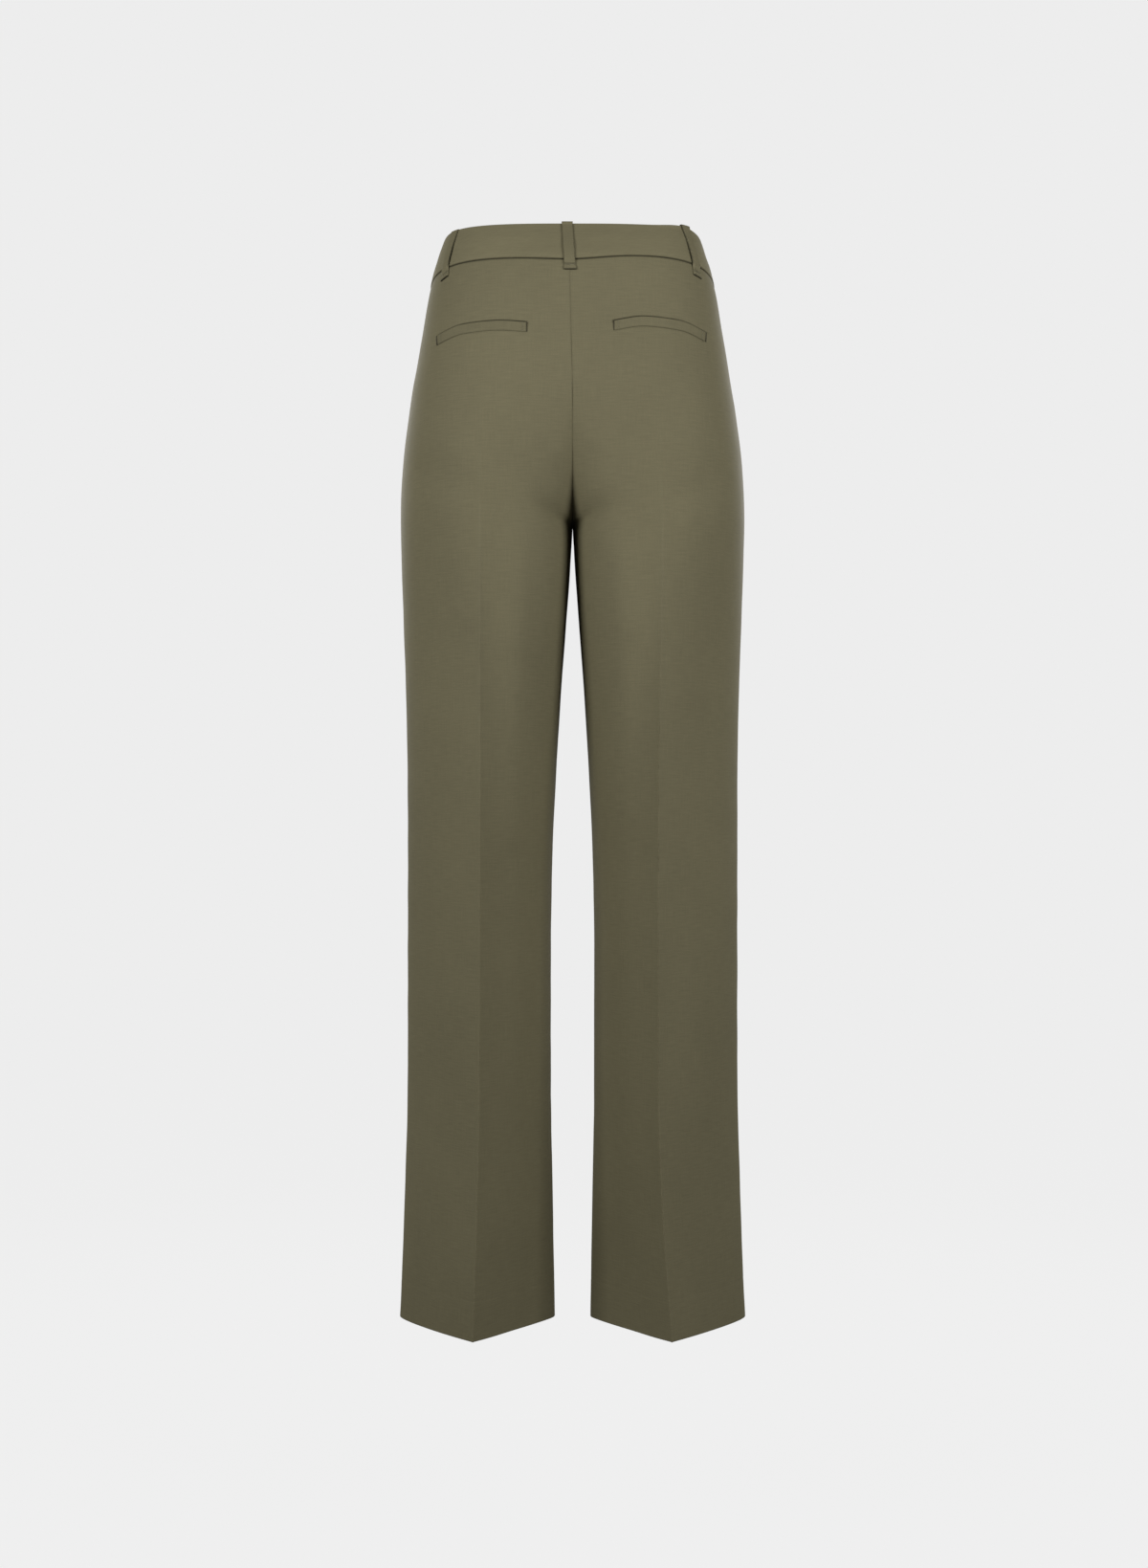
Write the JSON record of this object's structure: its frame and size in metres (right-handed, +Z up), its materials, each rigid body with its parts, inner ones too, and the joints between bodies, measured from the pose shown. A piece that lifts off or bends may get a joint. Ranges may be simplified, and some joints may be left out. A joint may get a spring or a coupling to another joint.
{
  "type": "wide-leg trousers",
  "caption": "High-waisted wide-leg tailored trousers, worn round and hollow, with pressed creases, a shaped waistband, belt loops and back welt pockets.",
  "frame": {"origin": "middle of the waist opening, level with the top of the waistband, where a wearer's waist holds the trousers up", "axes": "+Z up out of the waist opening, -Y towards the garment's front, +X towards its left leg"},
  "size_m": [0.3392, 0.2343, 1.0567],
  "materials": {
    "suiting": "smooth fine twill suiting, olive khaki, matt with a faint sheen",
    "suiting_inside": "the same suiting seen from inside, matt"
  },
  "bodies": {
    "root": {"back_left": "suiting", "back_right": "suiting", "front_left": "suiting", "front_right": "suiting", "waistband": "suiting", "belt_loop_centre_back": "suiting", "belt_loop_back_left": "suiting", "belt_loop_back_right": "suiting", "belt_loop_front_left": "suiting", "belt_loop_front_right": "suiting", "back_welt_left": "suiting", "back_welt_right": "suiting", "fly_shield": "suiting_inside"}
  },
  "joints": []
}
